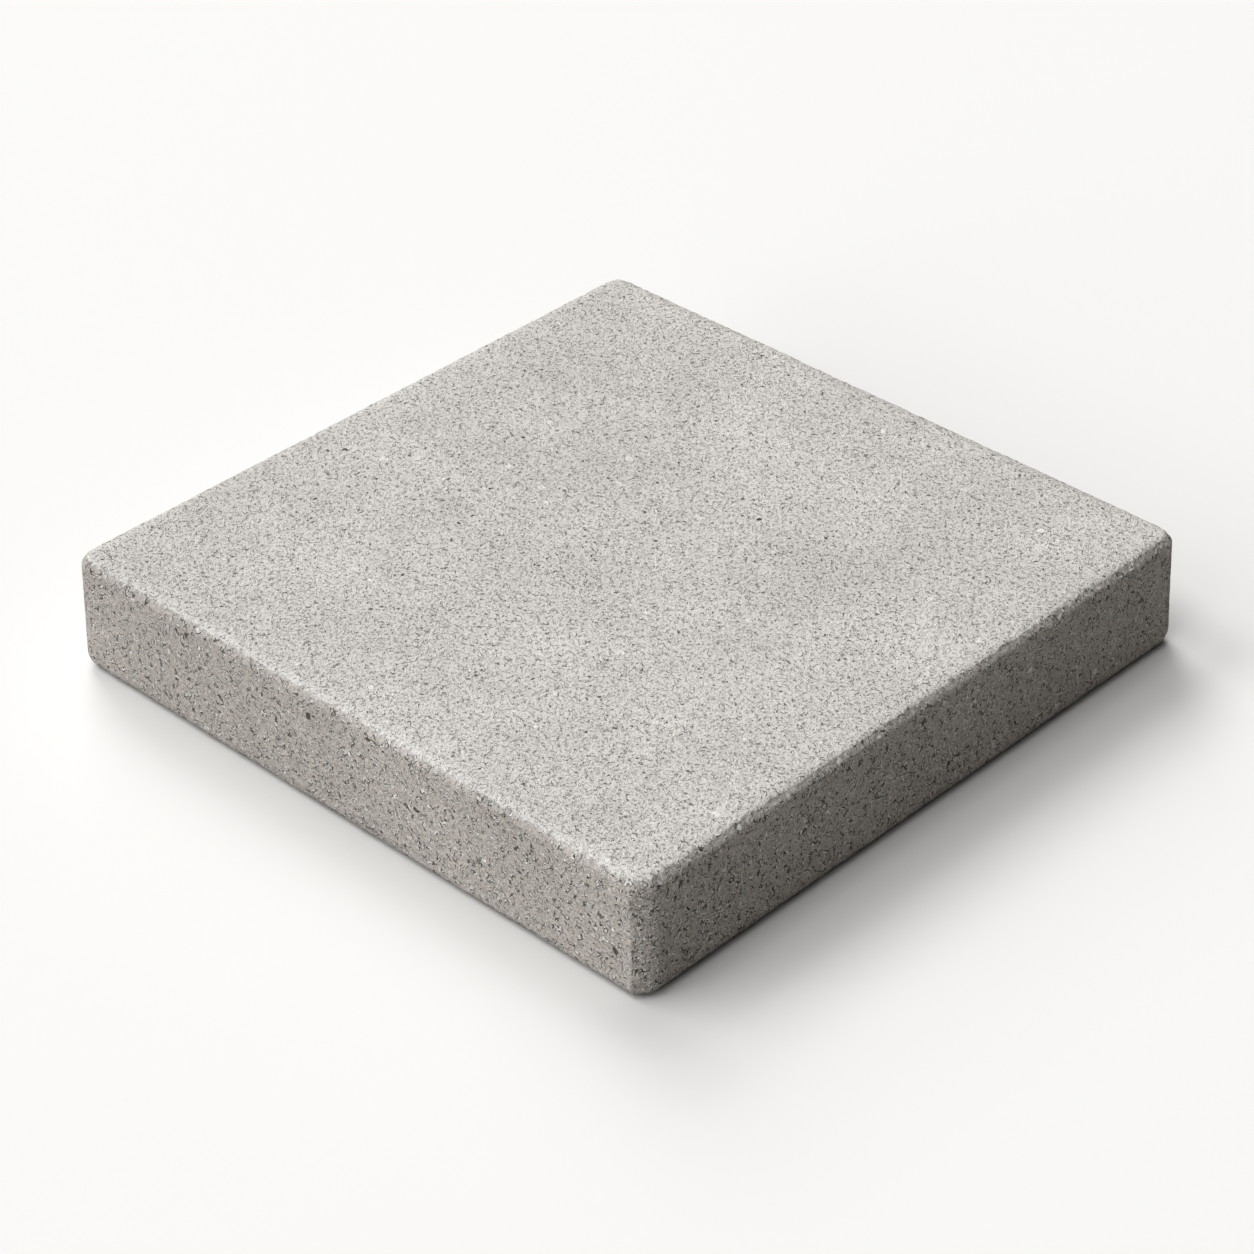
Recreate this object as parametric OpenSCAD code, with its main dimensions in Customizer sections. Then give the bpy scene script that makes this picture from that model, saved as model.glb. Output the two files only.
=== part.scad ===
// Square concrete paving slab, cast in one piece.
// It lies on its bed face: the origin is the middle of that face, and Z is up.
// One edge section goes all the way round: it is extruded along the sides and turned round the corners.

/* [Slab] */
// Greatest width, along X
slab_w = 300; // [150:1:600]
// Greatest length, along Y
slab_l = 300; // [150:1:600]
// Thickness from the bed face to the top face
slab_t = 50; // [35:1:100]

/* [Sides] */
// Angle that the sides lean in by towards the top, so that the casting leaves its mould
draft_angle = 1.5; // [0:0.25:3]
// Plan radius of the upright corners where the slab is widest
corner_r = 11; // [10:0.5:40]

/* [Arrises] */
// Radius of the rounded edge round the top face
top_arris_r = 7; // [1:0.5:9]
// Radius of the rounded edge round the bed face
foot_arris_r = 7; // [1:0.5:9]

/* [Hidden] */
$fn = 96;

// Colour of dry grey cement
concrete = "#c5c2be";

// Least flat between an arris and the upright axis that its corner is turned about
corner_land = 0.5;
// How far a side could lean in over the whole thickness
full_run = slab_t * tan(draft_angle);
// The arrises, limited by the corner that they go round
top_r = min(top_arris_r, corner_r - full_run - corner_land);
foot_r = min(foot_arris_r, corner_r - corner_land);

// Corner axes, out from the middle of the slab
axis_x = slab_w / 2 - corner_r;
axis_y = slab_l / 2 - corner_r;
// Heights of the leaning side's two ends
side_foot = foot_r;
side_top = slab_t - top_r;
// Reach of the side's upper end from a corner axis, to the nearest micron
top_reach = round(1000 * (corner_r - (side_top - side_foot) * tan(draft_angle))) / 1000;

// Quarter round of radius r at an outer edge, above (up = 1) or below (up = -1) its centre
module arris(r, up) {
    intersection() {
        circle(r = r);
        translate([0, (up - 1) * r])
            square(2 * r);
    }
}

// Section of the edge, from a corner axis outwards: bed face, foot arris, leaning side, top arris, top face
module edge_section() {
    foot_x = corner_r - foot_r;
    top_x = top_reach - top_r;
    polygon([
        [0, 0],
        [foot_x, 0],
        [foot_x, side_foot],
        [corner_r, side_foot],
        [top_reach, side_top],
        [top_x, side_top],
        [top_x, slab_t],
        [0, slab_t]
    ]);
    translate([foot_x, side_foot])
        arris(foot_r, -1);
    translate([top_x, side_top])
        arris(top_r, 1);
}

// Edge along one straight side of the given run, centred on the side
module straight_edge(run) {
    translate([0, run / 2, 0])
        rotate([90, 0, 0])
            linear_extrude(height = run)
                edge_section();
}

// Edge turned through the quarter circle of one upright corner
module corner_edge() {
    rotate_extrude(angle = 90)
        edge_section();
}

// The whole casting: a middle block with its edge, whose two halves are alike
module slab() {
    color(concrete) {
        translate([-axis_x, -axis_y, 0])
            cube([2 * axis_x, 2 * axis_y, slab_t]);
        for (turn = [0, 180]) {
            rotate([0, 0, turn]) {
                translate([axis_x, 0, 0])
                    straight_edge(2 * axis_y);
                translate([axis_x, axis_y, 0])
                    corner_edge();
            }
            rotate([0, 0, turn + 90]) {
                translate([axis_y, 0, 0])
                    straight_edge(2 * axis_x);
                translate([axis_y, axis_x, 0])
                    corner_edge();
            }
        }
    }
}

slab();
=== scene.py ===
"""Square concrete paving slab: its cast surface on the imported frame, with floor, light and camera."""

import logging
import math
import random
from dataclasses import dataclass, field
from enum import Enum
from typing import Any, Callable, ClassVar, NamedTuple

import bmesh
import bpy
import numpy as np
from mathutils import Matrix, Vector


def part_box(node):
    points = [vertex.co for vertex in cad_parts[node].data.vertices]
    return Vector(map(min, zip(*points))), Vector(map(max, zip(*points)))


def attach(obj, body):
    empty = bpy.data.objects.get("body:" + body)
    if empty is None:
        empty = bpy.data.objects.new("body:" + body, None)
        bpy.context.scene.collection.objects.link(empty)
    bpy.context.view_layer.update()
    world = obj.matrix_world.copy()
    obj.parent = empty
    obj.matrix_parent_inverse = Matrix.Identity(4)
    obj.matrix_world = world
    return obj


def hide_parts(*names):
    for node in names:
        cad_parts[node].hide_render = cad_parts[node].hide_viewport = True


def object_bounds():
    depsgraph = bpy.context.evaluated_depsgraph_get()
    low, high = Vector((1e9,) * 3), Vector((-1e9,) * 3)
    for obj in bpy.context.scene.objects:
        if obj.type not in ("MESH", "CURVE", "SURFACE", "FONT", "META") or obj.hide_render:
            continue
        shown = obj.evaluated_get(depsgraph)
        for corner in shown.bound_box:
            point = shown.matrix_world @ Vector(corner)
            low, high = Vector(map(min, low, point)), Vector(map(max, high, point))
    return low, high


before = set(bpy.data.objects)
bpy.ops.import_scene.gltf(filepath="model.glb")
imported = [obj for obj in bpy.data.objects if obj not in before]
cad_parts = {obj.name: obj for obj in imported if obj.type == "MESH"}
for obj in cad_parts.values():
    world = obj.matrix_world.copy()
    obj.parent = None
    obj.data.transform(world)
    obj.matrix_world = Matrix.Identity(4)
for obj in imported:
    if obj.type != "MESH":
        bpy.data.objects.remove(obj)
cad_low, cad_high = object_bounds()

log = logging.getLogger("slab")

MM = 0.001
# Middle level of a noise
MIDDLE = 0.5


def linear(hex_colour: str) -> tuple[float, float, float, float]:
    """Turns an sRGB hex colour into linear RGBA.

    Args:
        hex_colour: Six hex digits after a hash.

    Returns:
        Linear red, green, blue and an alpha of 1.
    """
    levels = [int(hex_colour[i : i + 2], 16) / 255 for i in (1, 3, 5)]
    red, green, blue = [v / 12.92 if v <= 0.04045 else ((v + 0.055) / 1.055) ** 2.4 for v in levels]
    return red, green, blue, 1.0


def add_node(
    tree: bpy.types.NodeTree, kind: str, inputs: dict[str | int, Any] | None = None, **settings: Any
) -> bpy.types.Node:
    """Adds one node, with its settings, and sets or links its inputs.

    Args:
        tree: Node tree that gets the node.
        kind: Type name of the node.
        inputs: Values, output sockets or nodes, by input name or index; a node stands for the first of
            its outputs that is in use.
        settings: Properties of the node itself.

    Returns:
        The new node.
    """
    made = tree.nodes.new(kind)
    for name, value in settings.items():
        setattr(made, name, value)
    for socket, value in (inputs or {}).items():
        if isinstance(value, bpy.types.Node):
            value = next(output for output in value.outputs if output.enabled)
        if isinstance(value, bpy.types.NodeSocket):
            tree.links.new(value, made.inputs[socket])
        else:
            made.inputs[socket].default_value = value
    return made


def select_edges(test: Callable[[Vector, Vector], bool]) -> None:
    """Selects, in edit mode, the edges whose two ends pass a test, and nothing else.

    Args:
        test: Takes the two end points of an edge.
    """
    bpy.ops.mesh.select_mode(type="EDGE")
    bpy.ops.mesh.select_all(action="DESELECT")
    mesh = bpy.context.edit_object.data
    shape = bmesh.from_edit_mesh(mesh)
    for edge in shape.edges:
        if test(edge.verts[0].co, edge.verts[1].co):
            edge.select_set(True)
    shape.select_flush_mode()
    bmesh.update_edit_mesh(mesh)


def select_faces(test: Callable[[bmesh.types.BMFace], bool]) -> None:
    """Selects, in edit mode, the faces that pass a test, and nothing else.

    Args:
        test: Takes one face.
    """
    bpy.ops.mesh.select_mode(type="FACE")
    bpy.ops.mesh.select_all(action="DESELECT")
    mesh = bpy.context.edit_object.data
    shape = bmesh.from_edit_mesh(mesh)
    for face in shape.faces:
        if test(face):
            face.select_set(True)
    shape.select_flush_mode()
    bmesh.update_edit_mesh(mesh)


def make_active(piece: bpy.types.Object) -> None:
    """Selects one object alone and makes it active.

    Args:
        piece: The object.
    """
    bpy.ops.object.select_all(action="DESELECT")
    piece.select_set(True)
    bpy.context.view_layer.objects.active = piece


def apply_modifier(piece: bpy.types.Object, modifier: bpy.types.Modifier) -> None:
    """Applies one of a piece's modifiers."""
    make_active(piece)
    bpy.ops.object.modifier_apply(modifier=modifier.name)


def read_points(piece: bpy.types.Object) -> np.ndarray:
    """Reads the vertices of a piece.

    Args:
        piece: Mesh object.

    Returns:
        One row of X, Y and Z for each vertex, in metres.
    """
    points = np.empty(len(piece.data.vertices) * 3, np.float32)
    piece.data.vertices.foreach_get("co", points)
    return points.reshape(-1, 3)


def fade(values: np.ndarray, none: float, full: float) -> np.ndarray:
    """Turns values into weights from 0, at and past one value, to 1, at and past another."""
    return np.clip((values - none) / (full - none), 0.0, 1.0)


class Ground(Enum):
    """Part of the casting's surface that a pattern lies on."""

    ALL = "all over"
    TOP = "full on the top, fainter on the sides"
    SIDES = "sides only"
    ROUGH = "rough side only"


class Layer(NamedTuple):
    """One layer of colour, laid over those before it.

    Attributes:
        mask: Where the layer lies.
        tint: Its colour.
        share: How much it covers where the mask is 1.
    """

    mask: bpy.types.Node
    tint: str
    share: float = 1.0


@dataclass(frozen=True)
class Surface:
    """What the concrete's patterns read.

    Attributes:
        tree: Node tree of the material.
        place: Coordinates in millimetres.
        warped: The same coordinates, slightly warped.
        grounds: Mask of each part of the surface.
    """

    tree: bpy.types.NodeTree
    place: bpy.types.Node
    warped: bpy.types.Node
    grounds: dict[Ground, bpy.types.Node | float]


@dataclass(frozen=True)
class Strokes:
    """Short curled crevices with a pale lip beside each: broken level lines of a noise.

    Attributes:
        apart_mm: Mean distance between neighbouring crevices.
        width: Half width of a stroke, as a share of the noise's range.
        shift_mm: Place of the pattern, so that no two sets of strokes are alike.
        dark_full: Level of the gaps' noise at which a crevice is full; the higher, the more stay faint.
        pale_full: The same level for the lips.
        dark_on: Part of the surface that has the crevices.
        pale_on: Part of the surface that has the lips.
        depth_mm: Depth of the crevices.
        rise_mm: Height of the lips.
        dark_share: How much the crevices' colour covers.
        GAP_FROM: Level of the gaps' noise below which there are no strokes.
        GAP_SCALE: Fineness of the gaps' noise against that of the strokes.
        CORE: Share of a stroke's half width that has its full strength.
        LIP: Distance of a lip from its crevice, in half widths.
    """

    apart_mm: float
    width: float
    shift_mm: tuple[float, float, float]
    dark_full: float
    pale_full: float
    dark_on: Ground
    pale_on: Ground
    depth_mm: float = 0.0
    rise_mm: float = 0.0
    dark_share: float = 1.0
    GAP_FROM: ClassVar[float] = 0.47
    GAP_SCALE: ClassVar[float] = 0.9
    CORE: ClassVar[float] = 0.2
    LIP: ClassVar[float] = 1.3

    def draw(self, surface: Surface) -> tuple[bpy.types.Node, bpy.types.Node]:
        """Draws the strokes.

        Args:
            surface: What the pattern reads.

        Returns:
            Masks that are 1 along a crevice and along a lip.
        """
        tree = surface.tree
        moved = add_node(tree, "ShaderNodeVectorMath", {0: surface.place, 1: self.shift_mm}, operation="ADD")
        level = add_node(
            tree,
            "ShaderNodeTexNoise",
            {"Vector": moved, "Scale": 1 / self.apart_mm, "Detail": 0.0, "Distortion": 0.4},
        )
        gaps = add_node(
            tree,
            "ShaderNodeTexNoise",
            {"Vector": moved, "Scale": self.GAP_SCALE / self.apart_mm, "Detail": 0.0},
        )
        pick = add_node(tree, "ShaderNodeSeparateColor", {"Color": gaps.outputs["Color"]}).outputs["Green"]
        masks = []
        for middle, full, ground in (
            (MIDDLE, self.dark_full, self.dark_on),
            (MIDDLE + self.LIP * self.width, self.pale_full, self.pale_on),
        ):
            off_line = add_node(tree, "ShaderNodeMath", {0: level, 1: middle}, operation="SUBTRACT")
            distance = add_node(tree, "ShaderNodeMath", {0: off_line}, operation="ABSOLUTE")
            line = add_node(
                tree,
                "ShaderNodeMapRange",
                {"Value": distance, "From Min": self.width, "From Max": self.width * self.CORE},
                interpolation_type="SMOOTHSTEP",
            )
            shown = add_node(
                tree,
                "ShaderNodeMapRange",
                {"Value": pick, "From Min": self.GAP_FROM, "From Max": full},
                interpolation_type="SMOOTHSTEP",
            )
            broken = add_node(tree, "ShaderNodeMath", {0: line, 1: shown}, operation="MULTIPLY")
            on_ground = surface.grounds[ground]
            masks.append(add_node(tree, "ShaderNodeMath", {0: broken, 1: on_ground}, operation="MULTIPLY"))
        return masks[0], masks[1]


@dataclass(frozen=True)
class Spots:
    """Scattered irregular spots of uneven width.

    Attributes:
        apart_mm: Mean distance between places for a spot.
        widest_mm: Half width of the widest spot.
        bare: Share of the places that stay empty.
        ground: Part of the surface that has the spots.
        share: How much their colour covers.
        RIM_MM: Width of a spot's soft rim.
    """

    apart_mm: float
    widest_mm: float
    bare: float
    ground: Ground = Ground.ALL
    share: float = 1.0
    RIM_MM: ClassVar[float] = 0.3

    def draw(self, surface: Surface) -> bpy.types.Node:
        """Scatters the spots.

        Args:
            surface: What the pattern reads.

        Returns:
            Mask that is 1 inside a spot.
        """
        tree = surface.tree
        cells = add_node(tree, "ShaderNodeTexVoronoi", {"Vector": surface.warped, "Scale": 1 / self.apart_mm})
        chance = add_node(tree, "ShaderNodeSeparateColor", {"Color": cells.outputs["Color"]}).outputs["Red"]
        reach = add_node(
            tree,
            "ShaderNodeMapRange",
            {"Value": chance, "From Min": self.bare, "To Max": self.widest_mm / self.apart_mm},
        )
        inside = add_node(
            tree, "ShaderNodeMath", {0: reach, 1: cells.outputs["Distance"]}, operation="SUBTRACT"
        )
        spot = add_node(
            tree,
            "ShaderNodeMapRange",
            {"Value": inside, "From Max": self.RIM_MM / self.apart_mm},
            interpolation_type="SMOOTHSTEP",
        )
        return add_node(
            tree, "ShaderNodeMath", {0: spot, 1: surface.grounds[self.ground]}, operation="MULTIPLY"
        )


@dataclass(frozen=True)
class CastConcrete:
    """Dry cast concrete: cement paste with sand in it, struck off on top and drawn from a mould at the sides.

    Attributes:
        paste: Colour of the cement paste.
        warm_paste: Colour of the paste on the sides.
        crevice: Colour in the cracks between sand grains.
        grain: Colour of the sand that stands out of the paste.
        pit: Colour down in the crevices and pits, and of the painted shade round the foot.
        fleck: Colour of quartz and lime flecks and of the crevices' lips.
        warp_mm: Size of the warp that keeps grains and pits from being round.
        warp_reach_mm: How far that warp moves a point at most.
        top_facing: Upward share of the normal above which a face belongs to the top.
        side_facing: The same share below which it belongs to the sides.
        rough_facing: Shares of the normal along +X between which a face becomes one of the rough side.
        side_crevices: Strength of the finer crevices on the sides, against the top.
        grain_mm: Size of the sand.
        bright_sand: How much the bright grains cover.
        dull_sand: How much the dull grains cover.
        grit_mm: Size of the fine grit; real grit is finer and would not show in the render.
        grit_high: Level of its noise at which high spots are full.
        grit_low: Level of its noise at which low spots are full.
        grit_pale: How much its high spots cover, on the top and on the sides.
        grit_dark: How much its low spots cover, on the top and on the sides.
        grit_rise_mm: Height of its relief, on the top and on the sides.
        side_strokes: Bold crevices of the sides, and those that the rough side has besides, in colour only:
            partly its rough texture, partly painted highlights on its ridges and painted shade in its
            hollows.
        strokes: Fine crevices of the whole surface.
        pits: Small specks, air pits, and the wide air holes of the sides.
        flecks: Quartz and lime flecks.
        wear_highlight_mm: Distances from the side between which the pale band along the lit top arris at -Y
            starts and
        is full; the band is partly worn paler and partly a painted highlight where that arris catches the
        light.
        wear_highlight_share: How much the pale tone of that band covers.
        wear_highlight_below_mm: Depths below the top face between which the band starts and is full.
        ridge_mm: Distance of the near corner's crisp upright edge from where the two sides would meet.
        ridge_lean_mm: How far the sides have leaned in halfway up.
        ridge_reach_mm: Distances from that edge between which its pale tone, partly rubbed and partly painted
            highlight, starts and is full.
        ridge_share: How much that tone covers, against the band's.
        foot_shade_mm: Heights between which the line of painted shade round the foot starts and is full.
        mottle_mm: Size of the clouds that uneven drying leaves.
        mottle_levels: Levels of their noise at which they are darkest and lightest.
        mottle: How much the clouds lighten or darken.
        roughness: Roughness of the dry surface.
        specular: Specular level of the dry surface.
    """

    paste: str = "#E0DCD7"
    warm_paste: str = "#C4BCB6"
    crevice: str = "#857F78"
    grain: str = "#F2F0EC"
    pit: str = "#5A554E"
    fleck: str = "#F8F6F3"
    warp_mm: float = 2.2
    warp_reach_mm: float = 2.6
    top_facing: float = 0.95
    side_facing: float = 0.75
    rough_facing: tuple[float, float] = (0.5, 0.9)
    side_crevices: float = 0.6
    grain_mm: float = 1.3
    bright_sand: float = 0.25
    dull_sand: float = 0.1
    grit_mm: float = 0.95
    grit_high: float = 0.68
    grit_low: float = 0.32
    grit_pale: tuple[float, float] = (0.25, 0.3)
    grit_dark: tuple[float, float] = (0.15, 0.2)
    grit_rise_mm: tuple[float, float] = (0.8, 1.1)
    side_strokes: tuple[Strokes, ...] = (
        Strokes(2.1, 0.075, (29.0, 7.0, 41.0), 0.6, 0.53, Ground.SIDES, Ground.SIDES, 0.4, 0.4),
        # Rough shaded side: colour only, partly texture, partly painted highlights on ridges and painted
        # shade in hollows
        Strokes(1.8, 0.075, (53.0, 31.0, 17.0), 0.6, 0.52, Ground.ROUGH, Ground.ROUGH),
    )
    strokes: tuple[Strokes, ...] = (
        Strokes(1.5, 0.055, (0.0, 0.0, 0.0), 0.75, 0.66, Ground.TOP, Ground.ALL, 0.35, 0.3),
        Strokes(1.1, 0.055, (37.0, 11.0, 5.0), 0.74, 0.62, Ground.TOP, Ground.ALL, 0.25, 0.2, 0.9),
    )
    pits: tuple[Spots, ...] = (
        Spots(4.2, 0.85, 0.35, share=0.85),
        Spots(9.0, 1.1, 0.5),
        Spots(14.0, 2.0, 0.55, Ground.SIDES),
    )
    flecks: Spots = Spots(10.0, 1.7, 0.45)
    wear_highlight_mm: tuple[float, float] = (10.5, 5.25)
    wear_highlight_share: float = 0.3
    wear_highlight_below_mm: tuple[float, float] = (2.2, 0.8)
    ridge_mm: float = 5.2
    ridge_lean_mm: float = 1.0
    ridge_reach_mm: tuple[float, float] = (1.5, 0.6)
    ridge_share: float = 0.6
    foot_shade_mm: tuple[float, float] = (3.4, 2.04)
    mottle_mm: float = 55.0
    mottle_levels: tuple[float, float] = (0.3, 0.7)
    mottle: float = 0.09
    roughness: float = 0.93
    specular: float = 0.25

    def material(self, half_mm: float, top_mm: float) -> bpy.types.Material:
        """Builds the concrete's node material.

        Args:
            half_mm: Half width of the slab.
            top_mm: Height of its top face.

        Returns:
            The finished material.
        """
        made = bpy.data.materials.new("cast_concrete_dry")
        made.use_nodes = True
        tree = made.node_tree
        tree.nodes.clear()
        surface = self._surface(tree)
        layers = self._sand(surface)
        grit_layers, height = self._grit(surface)
        layers += grit_layers
        for sets in (self.side_strokes, self.strokes):
            drawn = [(strokes, *strokes.draw(surface)) for strokes in sets]
            layers += [Layer(pale, self.fleck) for strokes, dark, pale in drawn]
            layers += [Layer(dark, self.pit, strokes.dark_share) for strokes, dark, pale in drawn]
            raised = [(pale, strokes.rise_mm) for strokes, dark, pale in drawn if strokes.rise_mm]
            sunk = [(dark, -strokes.depth_mm) for strokes, dark, pale in drawn if strokes.depth_mm]
            for mask, rise in raised + sunk:
                height = add_node(
                    tree, "ShaderNodeMath", {0: mask, 1: rise, 2: height}, operation="MULTIPLY_ADD"
                )
        # Paler band on the lit top arris at -Y and the near corner's crisp edge: partly wear, partly painted
        # highlight
        layers.append(Layer(self._wear_and_highlight(surface, half_mm, top_mm), self.grain, self.wear_highlight_share))
        layers += [Layer(spots.draw(surface), self.pit, spots.share) for spots in self.pits]
        layers.append(Layer(self.flecks.draw(surface), self.fleck))
        # Painted shade: a dark line round the foot where the slab meets the floor, but not on the rough side
        layers.append(Layer(self._foot_shade(surface), self.pit))

        colour = add_node(
            tree,
            "ShaderNodeMix",
            {0: surface.grounds[Ground.SIDES], 6: linear(self.paste), 7: linear(self.warm_paste)},
            data_type="RGBA",
        )
        for layer in layers:
            cover = add_node(tree, "ShaderNodeMath", {0: layer.mask, 1: layer.share}, operation="MULTIPLY")
            colour = add_node(
                tree, "ShaderNodeMix", {0: cover, 6: colour, 7: linear(layer.tint)}, data_type="RGBA"
            )
        colour = add_node(
            tree, "ShaderNodeVectorMath", {0: colour, "Scale": self._clouds(surface)}, operation="SCALE"
        )
        # Dry concrete is matt all over: the eye sees its sandy relief and speckle, and no shine
        bump = add_node(tree, "ShaderNodeBump", {"Strength": 1.0, "Distance": MM, "Height": height})
        shader = add_node(
            tree,
            "ShaderNodeBsdfPrincipled",
            {
                "Base Color": colour,
                "Roughness": self.roughness,
                "Specular IOR Level": self.specular,
                "Normal": bump,
            },
        )
        add_node(tree, "ShaderNodeOutputMaterial", {"Surface": shader})
        return made

    def _surface(self, tree: bpy.types.NodeTree) -> Surface:
        """Lays out the coordinates and the parts of the surface.

        Args:
            tree: Node tree of the material.

        Returns:
            What the patterns read.
        """
        coords = add_node(tree, "ShaderNodeTexCoord")
        # All patterns are drawn in millimetres
        place = add_node(
            tree, "ShaderNodeMapping", {"Vector": coords.outputs["Object"], "Scale": (1 / MM, 1 / MM, 1 / MM)}
        )
        wobble = add_node(
            tree, "ShaderNodeTexNoise", {"Vector": place, "Scale": 1 / self.warp_mm, "Detail": 1.0}
        )
        warped = add_node(
            tree,
            "ShaderNodeVectorMath",
            {0: wobble.outputs["Color"], 1: (self.warp_reach_mm,) * 3, 2: place},
            operation="MULTIPLY_ADD",
        )
        facing = add_node(tree, "ShaderNodeSeparateXYZ", {"Vector": coords.outputs["Normal"]})
        sides = add_node(
            tree,
            "ShaderNodeMapRange",
            {"Value": facing.outputs["Z"], "From Min": self.top_facing, "From Max": self.side_facing},
            interpolation_type="SMOOTHSTEP",
        )
        # The side at +X came rougher out of the mould; it is the shaded side, and its extra strokes paint the
        # highlights and shade of that relief
        rough_from, rough_full = self.rough_facing
        rough = add_node(
            tree,
            "ShaderNodeMapRange",
            {"Value": facing.outputs["X"], "From Min": rough_from, "From Max": rough_full},
            interpolation_type="SMOOTHSTEP",
        )
        top = add_node(
            tree, "ShaderNodeMapRange", {"Value": sides, "To Min": 1.0, "To Max": self.side_crevices}
        )
        grounds = {Ground.ALL: 1.0, Ground.TOP: top, Ground.SIDES: sides, Ground.ROUGH: rough}
        return Surface(tree, place, warped, grounds)

    def _sand(self, surface: Surface) -> list[Layer]:
        """Gives each grain of sand a tone of its own.

        Args:
            surface: What the pattern reads.

        Returns:
            Layers of the bright and of the dull grains.
        """
        tree = surface.tree
        sand = add_node(tree, "ShaderNodeTexVoronoi", {"Vector": surface.warped, "Scale": 1 / self.grain_mm})
        tone = add_node(tree, "ShaderNodeSeparateColor", {"Color": sand.outputs["Color"]})
        # Half of the grains have no bright tone, and half have no dull one
        layers = []
        for channel, tint, most in (
            ("Red", self.grain, self.bright_sand),
            ("Green", self.crevice, self.dull_sand),
        ):
            mask = add_node(
                tree,
                "ShaderNodeMapRange",
                {"Value": tone.outputs[channel], "From Min": MIDDLE, "To Max": most},
                interpolation_type="SMOOTHSTEP",
            )
            layers.append(Layer(mask, tint))
        return layers

    def _grit(self, surface: Surface) -> tuple[list[Layer], bpy.types.Node]:
        """Draws the fine grit: relief that the light picks out on top, and uneven tone on the sides.

        Args:
            surface: What the pattern reads.

        Returns:
            Layers of the grit's high and low spots, and its height in millimetres.
        """
        tree = surface.tree
        sides = surface.grounds[Ground.SIDES]
        grit = add_node(
            tree,
            "ShaderNodeTexNoise",
            {
                "Vector": surface.place,
                "Scale": 1 / self.grit_mm,
                "Detail": 2.0,
                "Roughness": 0.6,
                "Distortion": 0.6,
            },
        )
        layers = []
        for level, tint, (on_top, on_sides) in (
            (self.grit_high, self.grain, self.grit_pale),
            (self.grit_low, self.crevice, self.grit_dark),
        ):
            mask = add_node(
                tree,
                "ShaderNodeMapRange",
                {"Value": grit, "From Min": MIDDLE, "From Max": level},
                interpolation_type="SMOOTHSTEP",
            )
            share = add_node(
                tree, "ShaderNodeMapRange", {"Value": sides, "To Min": on_top, "To Max": on_sides}
            )
            cover = add_node(tree, "ShaderNodeMath", {0: mask, 1: share}, operation="MULTIPLY")
            layers.append(Layer(cover, tint))
        top_rise, side_rise = self.grit_rise_mm
        rise = add_node(tree, "ShaderNodeMapRange", {"Value": sides, "To Min": top_rise, "To Max": side_rise})
        return layers, add_node(tree, "ShaderNodeMath", {0: grit, 1: rise}, operation="MULTIPLY")

    def _wear_and_highlight(self, surface: Surface, half_mm: float, top_mm: float) -> bpy.types.Node:
        """Masks what is paler from wear and from painted highlight: the lit top arris at -Y and the near
        corner's crisp upright edge.

        Args:
            surface: What the pattern reads.
            half_mm: Half width of the slab.
            top_mm: Height of its top face.

        Returns:
            Mask that is 1 on the arris.
        """
        tree = surface.tree
        parts = add_node(tree, "ShaderNodeSeparateXYZ", {"Vector": surface.place})
        plan = add_node(
            tree, "ShaderNodeVectorMath", {0: surface.place, 1: (1.0, 1.0, 0.0)}, operation="MULTIPLY"
        )
        ridge_at = (half_mm - self.ridge_lean_mm - self.ridge_mm, self.ridge_lean_mm - half_mm, 0.0)
        from_ridge = add_node(tree, "ShaderNodeVectorMath", {0: plan, 1: ridge_at}, operation="DISTANCE")
        ridge_from, ridge_full = self.ridge_reach_mm
        ridge = add_node(
            tree,
            "ShaderNodeMapRange",
            {"Value": from_ridge, "From Min": ridge_from, "From Max": ridge_full, "To Max": self.ridge_share},
            interpolation_type="SMOOTHSTEP",
        )
        band_from, band_full = self.wear_highlight_mm
        near_edge = add_node(
            tree,
            "ShaderNodeMapRange",
            {"Value": parts.outputs["Y"], "From Min": band_from - half_mm, "From Max": band_full - half_mm},
            interpolation_type="SMOOTHSTEP",
        )
        below_from, below_full = self.wear_highlight_below_mm
        near_top = add_node(
            tree,
            "ShaderNodeMapRange",
            {"Value": parts.outputs["Z"], "From Min": top_mm - below_from, "From Max": top_mm - below_full},
            interpolation_type="SMOOTHSTEP",
        )
        arris = add_node(tree, "ShaderNodeMath", {0: near_edge, 1: near_top}, operation="MULTIPLY")
        return add_node(tree, "ShaderNodeMath", {0: arris, 1: ridge}, operation="MAXIMUM")

    def _foot_shade(self, surface: Surface) -> bpy.types.Node:
        """Masks the dark line of painted shade round the foot, where the slab meets the floor, but not on the
        rough side.

        Args:
            surface: What the pattern reads.

        Returns:
            Mask that is 1 in the painted shade.
        """
        tree = surface.tree
        up = add_node(tree, "ShaderNodeSeparateXYZ", {"Vector": surface.place}).outputs["Z"]
        shade_from, shade_full = self.foot_shade_mm
        low = add_node(
            tree,
            "ShaderNodeMapRange",
            {"Value": up, "From Min": shade_from, "From Max": shade_full},
            interpolation_type="SMOOTHSTEP",
        )
        off_rough = add_node(
            tree, "ShaderNodeMapRange", {"Value": surface.grounds[Ground.ROUGH], "To Min": 1.0, "To Max": 0.0}
        )
        return add_node(tree, "ShaderNodeMath", {0: low, 1: off_rough}, operation="MULTIPLY")

    def _clouds(self, surface: Surface) -> bpy.types.Node:
        """Draws the clouds from uneven drying, wide and narrow.

        Args:
            surface: What the pattern reads.

        Returns:
            Factor for the colour.
        """
        cloud = add_node(
            surface.tree,
            "ShaderNodeTexNoise",
            {"Vector": surface.place, "Scale": 1 / self.mottle_mm, "Detail": 5.0, "Roughness": 0.65},
        )
        darkest, lightest = self.mottle_levels
        return add_node(
            surface.tree,
            "ShaderNodeMapRange",
            {
                "Value": cloud,
                "From Min": darkest,
                "From Max": lightest,
                "To Min": 1 - self.mottle,
                "To Max": 1 + self.mottle,
            },
        )


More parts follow.
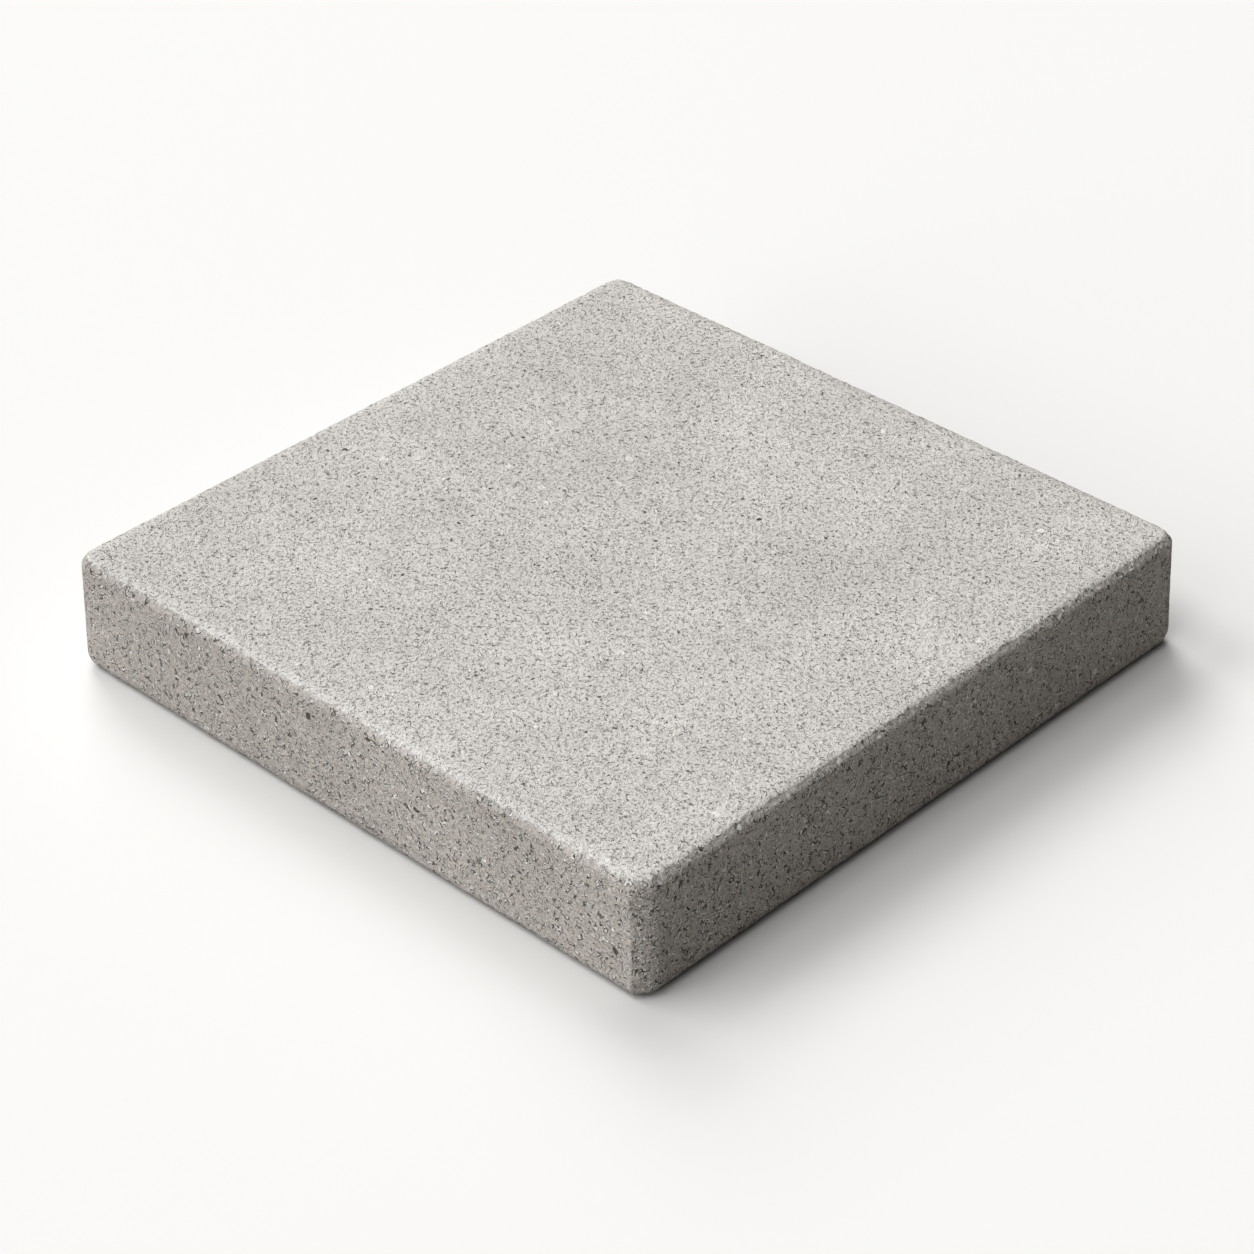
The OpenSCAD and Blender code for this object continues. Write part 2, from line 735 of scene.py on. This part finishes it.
@dataclass(frozen=True)
class Relief:
    """One layer of cloudy relief, pressed into the casting.

    Attributes:
        name: Plain name of the layer.
        size_mm: Size of one lump or hollow.
        depth_mm: Greatest depth.
        group: Vertex group that limits it, or an empty string for the whole casting.
        octaves: Levels of finer detail.
    """

    name: str
    size_mm: float
    depth_mm: float
    group: str = ""
    octaves: int = 1

    def press(self, piece: bpy.types.Object) -> None:
        """Displaces the piece inwards by this layer and applies it.

        Args:
            piece: The casting.
        """
        texture = bpy.data.textures.new(self.name, "CLOUDS")
        texture.noise_scale = self.size_mm * MM
        texture.noise_depth = self.octaves
        press = piece.modifiers.new(self.name, "DISPLACE")
        press.texture = texture
        press.texture_coords = "LOCAL"
        press.direction = "NORMAL"
        press.mid_level = 1.0
        press.strength = self.depth_mm * MM
        press.vertex_group = self.group
        apply_modifier(piece, press)


@dataclass(frozen=True)
class ArrisWear:
    """How the top arris of one side is chipped.

    Attributes:
        step_mm: Mean distance between chips.
        depth: Depth of the chips, as a share of the usual depth.
        wider_mm: How much wider the slope of the arris is than at the other sides.
    """

    step_mm: float
    depth: float
    wider_mm: float = 0.0


@dataclass
class SlabCasting:
    """The whole casting: a drafted block with rounded corners, a worn top arris and a rounded foot.

    Attributes:
        draft_deg: Angle that the sides lean in by.
        corner_mm: Plan radius of the upright corners.
        near_corner_mm: Width that the flat on the corner nearest the camera takes off each side.
        near_turn_mm: How much more that flat takes off the shaded side than off the lit one.
        near_round_mm: Reach of the round between that flat and the shaded side.
        shoulder_mm: Width of the band along the edge where the top falls away.
        shoulder_drop_mm: How far the top falls away at the far edges.
        near_drop: Share of that fall at the two near edges.
        shoulder_power: Power that makes the fall steepest at the edge.
        shoulder_depth_mm: Depth below the top at which the fall has died out.
        arris_mm: Height of the slope at the edge, down to its crease with the side.
        arris_round_mm: Reach of the round between that slope and the top.
        crease_round_mm: Reach of the round between that slope and the side.
        foot_mm: Radius of the foot's arris.
        voxel_mm: Spacing of the finished mesh.
        coarse_in_mm: Distance from the sides past which flat faces have a coarser mesh.
        wear: Chips of the top arris at +X, +Y, -X and -Y.
        row_end: Share of the corner radius at which the rows of chips and nicks end.
        tool_rough: Roughness of the tool that cuts them, as a share of its radius.
        chip_mm: Least and greatest radius of the chips' tool.
        chip_lean_deg: Least and greatest slope at which it strikes.
        chip_in: Place of the chips on the slope of the arris, as a share of its width.
        chip_below_mm: Their place below the top face.
        chip_least_mm: Depth of the shallowest chip.
        chip_more_mm: How much deeper the deepest one is.
        chip_shallow: Power that makes most chips shallow.
        nick_step_mm: Mean distance between nicks along the foot.
        nick_mm: Least and greatest radius of the nicks' tool.
        nick_depth_mm: Least and greatest depth of a nick.
        nick_in_mm: Place of the nicks in from the side.
        nick_up_mm: Their place above the bed face.
        nick_out: Direction out of the foot's arris, at +X.
        scatter: Least and greatest distance between two chips, as a share of the mean one.
        arris_band_mm: Distances in from the side between which the arris group starts and is full.
        arris_depth_mm: Depths below the top between which it starts and is full.
        side_band_mm: Distances in from the side between which the sides' group starts and is full.
        side_depth_mm: Depths below the top between which it starts and is full.
        reliefs: Layers of relief.
        seed: Seed of the chips' places.
        low: Lowest corner of the slab's box.
        high: Highest corner of the slab's box.
        SLACK: Distance within which points count as level, in metres.
        FLAT: Upward or downward share of the normal above which a face counts as level.
    """

    draft_deg: float = 1.5
    corner_mm: float = 10.5
    near_corner_mm: float = 5.2
    near_turn_mm: float = 2.0
    near_round_mm: float = 2.5
    shoulder_mm: float = 8.0
    shoulder_drop_mm: float = 1.9
    near_drop: float = 0.3
    shoulder_power: float = 1.5
    shoulder_depth_mm: float = 10.0
    arris_mm: float = 2.3
    arris_round_mm: float = 0.9
    crease_round_mm: float = 1.1
    foot_mm: float = 6.8
    voxel_mm: float = 1.06
    coarse_in_mm: float = 11.0
    wear: tuple[ArrisWear, ...] = (
        ArrisWear(4.0, 0.8, 0.6),
        ArrisWear(4.0, 1.0),
        ArrisWear(4.0, 1.0),
        ArrisWear(5.0, 0.8),
    )
    row_end: float = 0.6
    tool_rough: float = 0.06
    chip_mm: tuple[float, float] = (2.0, 6.0)
    chip_lean_deg: tuple[float, float] = (35.0, 55.0)
    chip_in: float = 0.8
    chip_below_mm: float = 0.4
    chip_least_mm: float = 0.1
    chip_more_mm: float = 0.7
    chip_shallow: float = 1.6
    nick_step_mm: float = 15.0
    nick_mm: tuple[float, float] = (1.5, 3.5)
    nick_depth_mm: tuple[float, float] = (0.4, 1.0)
    nick_in_mm: float = 1.5
    nick_up_mm: float = 2.0
    nick_out: tuple[float, float, float] = (0.8, 0.0, -0.6)
    scatter: tuple[float, float] = (0.4, 1.6)
    arris_band_mm: tuple[float, float] = (7.5, 3.5)
    arris_depth_mm: tuple[float, float] = (4.0, 2.0)
    side_band_mm: tuple[float, float] = (3.0, 1.5)
    side_depth_mm: tuple[float, float] = (2.0, 5.0)
    reliefs: tuple[Relief, ...] = (
        Relief("swell", 48.0, 0.3),
        Relief("arris_lumps", 3.0, 0.4, "arris", 2),
        Relief("side_lumps", 5.5, 0.3, "sides"),
        Relief("grit", 2.4, 0.2, "", 0),
    )
    seed: int = 7
    low: Vector = field(init=False)
    high: Vector = field(init=False)
    SLACK: ClassVar[float] = 0.01 * MM
    FLAT: ClassVar[float] = 0.95

    def build(self) -> bpy.types.Object:
        """Models the casting.

        Returns:
            The slab's object.
        """
        self.low, self.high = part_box("slab")
        piece = self._block()
        self._chip(piece)
        self._remesh(piece)
        self._coarsen(piece)
        self._weigh(piece)
        self._drop_shoulder(piece)
        for layer in self.reliefs:
            layer.press(piece)
        self._settle(piece)
        return piece

    def _block(self) -> bpy.types.Object:
        """Adds the block at its size and place, leans its sides in and shapes its edges.

        Returns:
            The block.
        """
        size = self.high - self.low
        bpy.ops.object.select_all(action="DESELECT")
        bpy.ops.mesh.primitive_cube_add(size=1.0, location=(self.low + self.high) / 2, scale=size)
        piece = bpy.context.active_object
        piece.name = "slab_casting"
        bpy.ops.object.transform_apply(location=True, rotation=False, scale=True)
        run = size.z * math.tan(math.radians(self.draft_deg))
        bpy.ops.object.mode_set(mode="EDIT")
        select_faces(lambda face: face.normal.z > self.FLAT)
        bpy.ops.transform.resize(
            value=(1 - 2 * run / size.x, 1 - 2 * run / size.y, 1.0), center_override=(0.0, 0.0, self.high.z)
        )
        self._round_corners(size.z / 2)
        self._slope_arris(size.x)
        select_edges(lambda a, b: max(a.z, b.z) < self.low.z + self.SLACK)
        bpy.ops.mesh.bevel(offset=self.foot_mm * MM, segments=6, affect="EDGES")
        bpy.ops.object.mode_set(mode="OBJECT")
        return piece

    def _round_corners(self, upright: float) -> None:
        """Shapes the upright corners, in edit mode.

        Args:
            upright: Height that only an upright edge has, in metres.
        """
        # The near corner has a flat with a crisp edge on its lit side; the others are round
        select_edges(lambda a, b: abs(a.z - b.z) > upright and a.x > 0 > a.y)
        bpy.ops.mesh.bevel(offset=self.near_corner_mm * MM, segments=1, affect="EDGES")
        select_edges(lambda a, b: abs(a.z - b.z) > upright and a.x > -a.y > 0)
        bpy.ops.transform.translate(value=(0.0, self.near_turn_mm * MM, 0.0))
        bpy.ops.mesh.bevel(offset=self.near_round_mm * MM, segments=4, affect="EDGES")
        select_edges(lambda a, b: abs(a.z - b.z) > upright and (a.x < 0 or a.y > 0))
        bpy.ops.mesh.bevel(offset=self.corner_mm * MM, segments=8, affect="EDGES")

    def _slope_arris(self, width: float) -> None:
        """Cuts the slope at the top edge, wider at +X, and rounds it above and below, in edit mode.

        Args:
            width: Width of the slab, in metres.
        """
        arris = self.arris_mm * MM
        select_edges(lambda a, b: min(a.z, b.z) > self.high.z - self.SLACK)
        bpy.ops.mesh.bevel(offset=arris, segments=1, affect="EDGES")
        select_faces(lambda face: face.normal.z > self.FLAT)
        narrower = 1 - self.wear[0].wider_mm * MM / width
        bpy.ops.transform.resize(
            value=(narrower, 1.0, 1.0), center_override=(self.low.x, 0.0, self.high.z)
        )
        select_edges(lambda a, b: min(a.z, b.z) > self.high.z - self.SLACK)
        bpy.ops.mesh.bevel(offset=self.arris_round_mm * MM, segments=4, affect="EDGES")
        crease = self.high.z - arris
        select_edges(lambda a, b: max(abs(a.z - crease), abs(b.z - crease)) < arris / 4)
        bpy.ops.mesh.bevel(offset=self.crease_round_mm * MM, segments=3, affect="EDGES")

    def _chip(self, piece: bpy.types.Object) -> None:
        """Knocks chips out of the top arris and small nicks out of the foot.

        Args:
            piece: The block, which is cut.
        """
        rng = random.Random(self.seed)
        places = []
        for turn, wear in enumerate(self.wear):
            spin = Matrix.Rotation(turn * math.pi / 2, 4, "Z")
            places += self._arris_chips(rng, spin, wear)
            places += self._foot_nicks(rng, spin)
        tool = self._chip_tool()
        make_active(tool)
        for place in places[1:]:
            chip = bpy.data.objects.new("chip", tool.data.copy())
            chip.data.transform(place)
            bpy.context.scene.collection.objects.link(chip)
            chip.select_set(True)
        tool.data.transform(places[0])
        bpy.ops.object.join()
        cut = piece.modifiers.new("chips", "BOOLEAN")
        cut.operation = "DIFFERENCE"
        cut.solver = "EXACT"
        cut.use_self = True
        cut.object = tool
        apply_modifier(piece, cut)
        bpy.data.objects.remove(tool)

    def _chip_tool(self) -> bpy.types.Object:
        """Models the rough lump that chips are cut with, 1 m in radius.

        Returns:
            The tool, at the origin.
        """
        bpy.ops.object.select_all(action="DESELECT")
        bpy.ops.mesh.primitive_ico_sphere_add(subdivisions=2, radius=1.0)
        tool = bpy.context.active_object
        tool.name = "chip_tool"
        bpy.ops.object.mode_set(mode="EDIT")
        bpy.ops.mesh.select_all(action="SELECT")
        bpy.ops.transform.vertex_random(offset=self.tool_rough, uniform=1.0, normal=0.0, seed=self.seed)
        bpy.ops.object.mode_set(mode="OBJECT")
        return tool

    @property
    def _reach(self) -> float:
        """Half the length of a row of chips or nicks, in metres."""
        return self.high.x - self.corner_mm * MM * self.row_end

    def _arris_chips(self, rng: random.Random, spin: Matrix, wear: ArrisWear) -> list[Matrix]:
        """Places the chips along the top arris of one side.

        Args:
            rng: Seeded generator.
            spin: Turn from +X to that side.
            wear: How the side is chipped.

        Returns:
            One matrix for each chip.
        """
        lean_in = self.high.z * math.tan(math.radians(self.draft_deg))
        slope = (self.arris_mm + wear.wider_mm) * MM
        edge_x = self.high.x - lean_in - slope * self.chip_in
        places = []
        along = -self._reach
        while along < self._reach:
            radius = rng.uniform(*self.chip_mm) * MM
            deeper = rng.random() ** self.chip_shallow
            depth = (self.chip_least_mm + self.chip_more_mm * deeper) * wear.depth * MM
            lean = math.radians(rng.uniform(*self.chip_lean_deg))
            edge = Vector((edge_x, along, self.high.z - self.chip_below_mm * MM))
            out = Vector((math.cos(lean), 0.0, math.sin(lean)))
            move = Matrix.Translation(edge + out * (radius - depth))
            places.append(spin @ move @ self._tumble(rng, radius))
            along += rng.uniform(*self.scatter) * wear.step_mm * MM
        return places

    def _foot_nicks(self, rng: random.Random, spin: Matrix) -> list[Matrix]:
        """Places the nicks along the foot of one side.

        Args:
            rng: Seeded generator.
            spin: Turn from +X to that side.

        Returns:
            One matrix for each nick.
        """
        out = Vector(self.nick_out)
        places = []
        along = -self._reach
        while along < self._reach:
            radius = rng.uniform(*self.nick_mm) * MM
            depth = rng.uniform(*self.nick_depth_mm) * MM
            edge = Vector((self.high.x - self.nick_in_mm * MM, along, self.low.z + self.nick_up_mm * MM))
            move = Matrix.Translation(edge + out * (radius - depth))
            places.append(spin @ move @ self._tumble(rng, radius))
            along += rng.uniform(*self.scatter) * self.nick_step_mm * MM
        return places

    @staticmethod
    def _tumble(rng: random.Random, radius: float) -> Matrix:
        """Turns a chip at random.

        Args:
            rng: Seeded generator.
            radius: Radius of the chip, in metres.

        Returns:
            Matrix that turns and sizes the chip tool.
        """
        roll = Matrix.Rotation(rng.uniform(0.0, math.tau), 4, "X")
        turn = Matrix.Rotation(rng.uniform(0.0, math.tau), 4, "Z")
        return roll @ turn @ Matrix.Scale(radius, 4)

    def _remesh(self, piece: bpy.types.Object) -> None:
        """Gives the whole casting one even mesh, fine enough for its relief.

        Args:
            piece: The chipped block.
        """
        even = piece.modifiers.new("even_mesh", "REMESH")
        even.mode = "SHARP"
        even.octree_depth = 9
        even.scale = (self.high.x - self.low.x) / (self.voxel_mm * MM * 2**even.octree_depth)
        even.sharpness = 1.0
        apply_modifier(piece, even)

    def _coarsen(self, piece: bpy.types.Object) -> None:
        """Makes the mesh coarser in the middle of the top and on the bed, which are flat.

        Args:
            piece: The remeshed casting.
        """
        inner = self.high.x - self.coarse_in_mm * MM
        make_active(piece)
        bpy.ops.object.mode_set(mode="EDIT")
        for facing, rounds in ((1.0, 2), (-1.0, 6)):
            select_faces(
                lambda face: face.normal.z * facing > self.FLAT
                and max(abs(face.calc_center_median().x), abs(face.calc_center_median().y)) < inner
            )
            bpy.ops.mesh.unsubdivide(iterations=rounds)
        bpy.ops.object.mode_set(mode="OBJECT")

    def _weigh(self, piece: bpy.types.Object) -> None:
        """Marks the worn arris, the sides and the falling shoulder with vertex groups.

        Args:
            piece: The remeshed casting.
        """
        points = read_points(piece) / MM
        half = self.high.x / MM
        # Distances in millimetres from the nearest side and from the top
        across = half - np.abs(points[:, :2]).max(axis=1)
        drop = self.high.z / MM - points[:, 2]
        arris = fade(across, *self.arris_band_mm) * fade(drop, *self.arris_depth_mm)
        sides = fade(across, *self.side_band_mm) * fade(drop, *self.side_depth_mm)
        # The far edges fall away more than the near ones
        near = np.minimum(half - points[:, 0], half + points[:, 1])
        far = np.minimum(half + points[:, 0], half - points[:, 1])
        near_fall, far_fall = [
            np.clip(1.0 - gap / self.shoulder_mm, 0.0, 1.0) ** self.shoulder_power for gap in (near, far)
        ]
        shoulder = np.maximum(self.near_drop * near_fall, far_fall) * fade(drop, self.shoulder_depth_mm, 0.0)
        levels = 20
        for name, weights in (("arris", arris), ("sides", sides), ("shoulder", shoulder)):
            group = piece.vertex_groups.new(name=name)
            for level in range(1, levels + 1):
                picked = np.nonzero(np.round(weights * levels) == level)[0]
                group.add(picked.tolist(), level / levels, "REPLACE")

    def _drop_shoulder(self, piece: bpy.types.Object) -> None:
        """Lets the top fall away gently towards its edges.

        Args:
            piece: The casting, with its vertex groups.
        """
        drop = piece.modifiers.new("shoulder", "DISPLACE")
        drop.direction = "Z"
        drop.mid_level = 0.0
        drop.strength = -self.shoulder_drop_mm * MM
        drop.vertex_group = "shoulder"
        apply_modifier(piece, drop)

    def _settle(self, piece: bpy.types.Object) -> None:
        """Keeps the casting inside its real size and shades it smooth.

        Args:
            piece: The casting, with all its relief.
        """
        points = np.clip(read_points(piece), np.array(self.low), np.array(self.high))
        piece.data.vertices.foreach_set("co", points.astype(np.float32).ravel())
        piece.data.update()
        make_active(piece)
        bpy.ops.object.shade_smooth()

    def dress(self, piece: bpy.types.Object, finish: CastConcrete) -> None:
        """Gives the casting its finish and ties it to the frame.

        Args:
            piece: The slab's object.
            finish: Finish of the concrete.
        """
        piece.data.materials.clear()
        piece.data.materials.append(finish.material(self.high.x / MM, self.high.z / MM))
        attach(piece, "root")
        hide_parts("slab")


@dataclass(frozen=True)
class SoftLamp:
    """One square soft lamp, aimed at the slab.

    Attributes:
        name: Name of the lamp.
        turn_deg: Direction from the slab, anticlockwise from +X.
        rise_deg: Height above the floor, as an angle.
        watts: Power.
        width_m: Width of the lamp.
        far_m: Distance from the slab.
    """

    name: str
    turn_deg: float
    rise_deg: float
    watts: float
    width_m: float = 11.0
    far_m: float = 25.0

    def hang(self) -> None:
        """Adds the lamp to the scene."""
        turn = math.radians(self.turn_deg)
        rise = math.radians(self.rise_deg)
        away = Vector((math.cos(rise) * math.cos(turn), math.cos(rise) * math.sin(turn), math.sin(rise)))
        bpy.ops.object.light_add(
            type="AREA", location=away * self.far_m, rotation=away.to_track_quat("Z", "Y").to_euler()
        )
        lamp = bpy.context.active_object
        lamp.name = self.name
        lamp.data.shape = "SQUARE"
        lamp.data.size = self.width_m
        lamp.data.energy = self.watts
        lamp.visible_camera = False


@dataclass(frozen=True)
class WhitePaper:
    """Matt white paper of a studio floor: the eye sees no sheen on it, only the slab's shadow.

    Attributes:
        colour: Colour of the paper.
        bounce: Colour that it throws back on the slab, so that the shaded side stays dark.
    """

    colour: str = "#F8F7F5"
    bounce: str = "#BCB8B2"

    def material(self) -> bpy.types.Material:
        """Builds the paper's node material.

        Returns:
            The finished material.
        """
        made = bpy.data.materials.new("white_paper")
        made.use_nodes = True
        tree = made.node_tree
        tree.nodes.clear()
        path = add_node(tree, "ShaderNodeLightPath")
        seen = path.outputs["Is Camera Ray"]
        for ray in ("Is Glossy Ray", "Is Transmission Ray"):
            seen = add_node(tree, "ShaderNodeMath", {0: seen, 1: path.outputs[ray]}, operation="MAXIMUM")
        colour = add_node(
            tree, "ShaderNodeMix", {0: seen, 6: linear(self.bounce), 7: linear(self.colour)}, data_type="RGBA"
        )
        shader = add_node(tree, "ShaderNodeBsdfDiffuse", {"Color": colour})
        add_node(tree, "ShaderNodeOutputMaterial", {"Surface": shader})
        return made


@dataclass
class Studio:
    """Plain floor, soft light and a camera at the photograph's angle.

    Attributes:
        paper: Finish of the floor.
        floor_m: Width of the floor.
        lamps: Soft lamps, most of them on the side away from the camera's right.
        focal_px: Focal length, in pixels of the photograph.
        frame_px: Width of the photograph, in pixels.
        sensor_mm: Width of the camera's sensor.
        azimuth_deg: Direction of the camera from the slab, anticlockwise from -Y.
        elevation_deg: Height of the camera above the floor, as an angle.
        roll_deg: How far the camera is tilted to one side.
        camera_far_m: Distance from the camera to the point that it looks at.
        aim_right_mm: How far right of the slab's middle that point is, in the picture.
        aim_down_mm: How far below the slab's middle it is.
    """

    paper: WhitePaper = WhitePaper()
    floor_m: float = 60.0
    lamps: tuple[SoftLamp, ...] = (
        SoftLamp("key_high", 210.0, 48.0, 1615.0),
        SoftLamp("key_low", 150.0, 30.0, 1580.0),
        SoftLamp("key_back", 150.0, 48.0, 1400.0),
        SoftLamp("top_back", 135.0, 66.0, 910.0),
        SoftLamp("top_front", 270.0, 66.0, 1445.0),
        SoftLamp("front_left", 240.0, 30.0, 1480.0),
        SoftLamp("front_high", 300.0, 48.0, 565.0),
        SoftLamp("front_low", 270.0, 12.0, 1600.0),
    )
    focal_px: float = 3672.0
    frame_px: float = 1254.0
    sensor_mm: float = 36.0
    azimuth_deg: float = 44.28
    elevation_deg: float = 34.6
    roll_deg: float = 0.78
    camera_far_m: float = 1.3983
    aim_right_mm: float = -0.5
    aim_down_mm: float = 11.4

    def build(self) -> None:
        """Makes the floor, the light and the camera."""
        self._floor()
        for lamp in self.lamps:
            lamp.hang()
        self._backdrop()
        self._camera()

    def _floor(self) -> None:
        """Lays a wide pale floor under the slab."""
        bpy.ops.object.select_all(action="DESELECT")
        bpy.ops.mesh.primitive_plane_add(size=self.floor_m, location=(0.0, 0.0, 0.0))
        floor = bpy.context.active_object
        floor.name = "floor"
        floor.data.materials.append(self.paper.material())

    def _backdrop(self) -> None:
        """Sets a white backdrop that is seen but gives no light."""
        world = bpy.data.worlds.new("studio")
        bpy.context.scene.world = world
        world.use_nodes = True
        tree = world.node_tree
        tree.nodes.clear()
        seen = add_node(tree, "ShaderNodeLightPath").outputs["Is Camera Ray"]
        back = add_node(tree, "ShaderNodeBackground", {"Color": linear(self.paper.colour), "Strength": seen})
        add_node(tree, "ShaderNodeOutputWorld", {"Surface": back})

    def _camera(self) -> None:
        """Puts the camera where the photograph was taken from."""
        turn = math.radians(self.azimuth_deg)
        rise = math.radians(self.elevation_deg)
        roll = math.radians(self.roll_deg)
        back = Vector((math.sin(turn) * math.cos(rise), -math.cos(turn) * math.cos(rise), math.sin(rise)))
        level = (-back).cross(Vector((0.0, 0.0, 1.0))).normalized()
        down = (-back).cross(level)
        right = math.cos(roll) * level + math.sin(roll) * down
        lower = math.cos(roll) * down - math.sin(roll) * level
        aim = Vector((0.0, 0.0, cad_high.z / 2)) + (right * self.aim_right_mm + lower * self.aim_down_mm) * MM
        bpy.ops.object.camera_add(location=aim + back * self.camera_far_m)
        camera = bpy.context.active_object
        camera.rotation_euler = Matrix((right, -lower, back)).transposed().to_euler()
        camera.data.sensor_width = self.sensor_mm
        camera.data.lens = self.focal_px / self.frame_px * self.sensor_mm
        bpy.context.scene.camera = camera
        bpy.context.scene.view_settings.view_transform = "Standard"


def main() -> None:
    """Builds the slab and its studio, and notes the casting's triangle count."""
    logging.basicConfig(level=logging.INFO, format="%(name)s: %(message)s")
    casting = SlabCasting()
    piece = casting.build()
    casting.dress(piece, CastConcrete())
    triangles = sum(len(face.vertices) - 2 for face in piece.data.polygons)
    log.info("%s: %d triangles", piece.name, triangles)
    Studio().build()
    log.info("studio: floor, lamps and camera")


if __name__ == "__main__":
    main()
